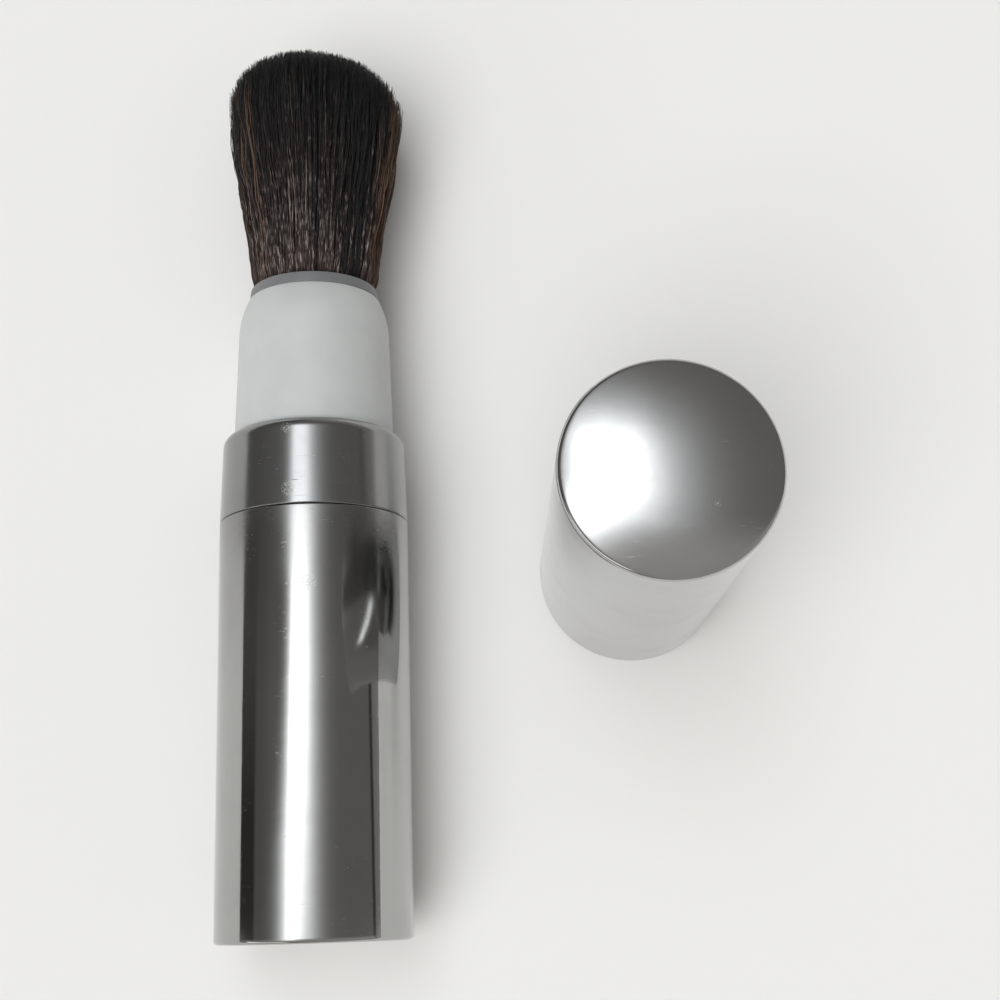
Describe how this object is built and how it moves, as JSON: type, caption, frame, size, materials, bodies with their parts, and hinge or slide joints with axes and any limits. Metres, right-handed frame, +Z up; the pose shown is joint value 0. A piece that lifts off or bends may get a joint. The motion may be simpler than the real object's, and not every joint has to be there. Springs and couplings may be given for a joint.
{
  "type": "refillable powder brush",
  "caption": "Refillable powder brush on its side: mirror-metal barrel and twist collar, frosted sleeve, flared domed bristles, and its domed cap standing beside it.",
  "frame": {"origin": "centre of the flat face at the barrel's base", "axes": "+Y along the brush from its base to the bristles' tip, +Z up as the brush lies, +X towards the cap that stands beside it"},
  "size_m": [0.0761, 0.1363, 0.0645],
  "materials": {
    "mirror_metal": "mirror, faint handling scuffs",
    "collar_metal": "mirror, fine scratches",
    "cap_metal": "mirror, very slightly hazy",
    "weight_steel": "dull",
    "spring_steel": "bright wire",
    "bottle_plastic": "milky moulded",
    "moulded_plastic": "satin moulded",
    "sifter_plastic": "satin moulded",
    "valve_plastic": "satin moulded",
    "dark_plastic": "dull",
    "seal_rubber": "dull",
    "gasket_rubber": "dull",
    "frosted_plastic": "frosted, slightly translucent",
    "ferrule_grey": "satin",
    "bristle_hair": "soft hair, brown with a near-black tip"
  },
  "bodies": {
    "barrel": {"barrel_shell": "mirror_metal", "base_weight": "weight_steel", "powder_bottle": "bottle_plastic"},
    "valve_unit": {"neck_ring": "valve_plastic", "neck_o_ring": "seal_rubber", "sifter_plate": "sifter_plastic", "sifter_gasket": "gasket_rubber", "bearing_washer": "dark_plastic"},
    "brush_head": {"twist_collar": "collar_metal", "collar_carrier": "moulded_plastic", "shutter_disc": "valve_plastic", "valve_spring": "spring_steel", "feed_tube": "moulded_plastic", "tube_seal": "seal_rubber", "brush_sleeve": "frosted_plastic", "ferrule_ring": "ferrule_grey", "bristle_bundle": "bristle_hair"},
    "cap": {"cap_shell": "cap_metal", "cap_liner": "moulded_plastic"}
  },
  "joints": [
    {"name": "head_pull", "type": "slide", "parent": "barrel", "child": "valve_unit", "axis": [0, 1, 0], "range_m": [0, 0.04]},
    {"name": "collar_turn", "type": "hinge", "parent": "valve_unit", "child": "brush_head", "pos_m": [0, 0.0604, 0], "axis": [0, 1, 0], "range_deg": [0, 90]},
    {"name": "cap_lift", "type": "slide", "parent": "barrel", "child": "cap", "axis": [0, 0, 1], "range_m": [0, 0.08]}
  ]
}
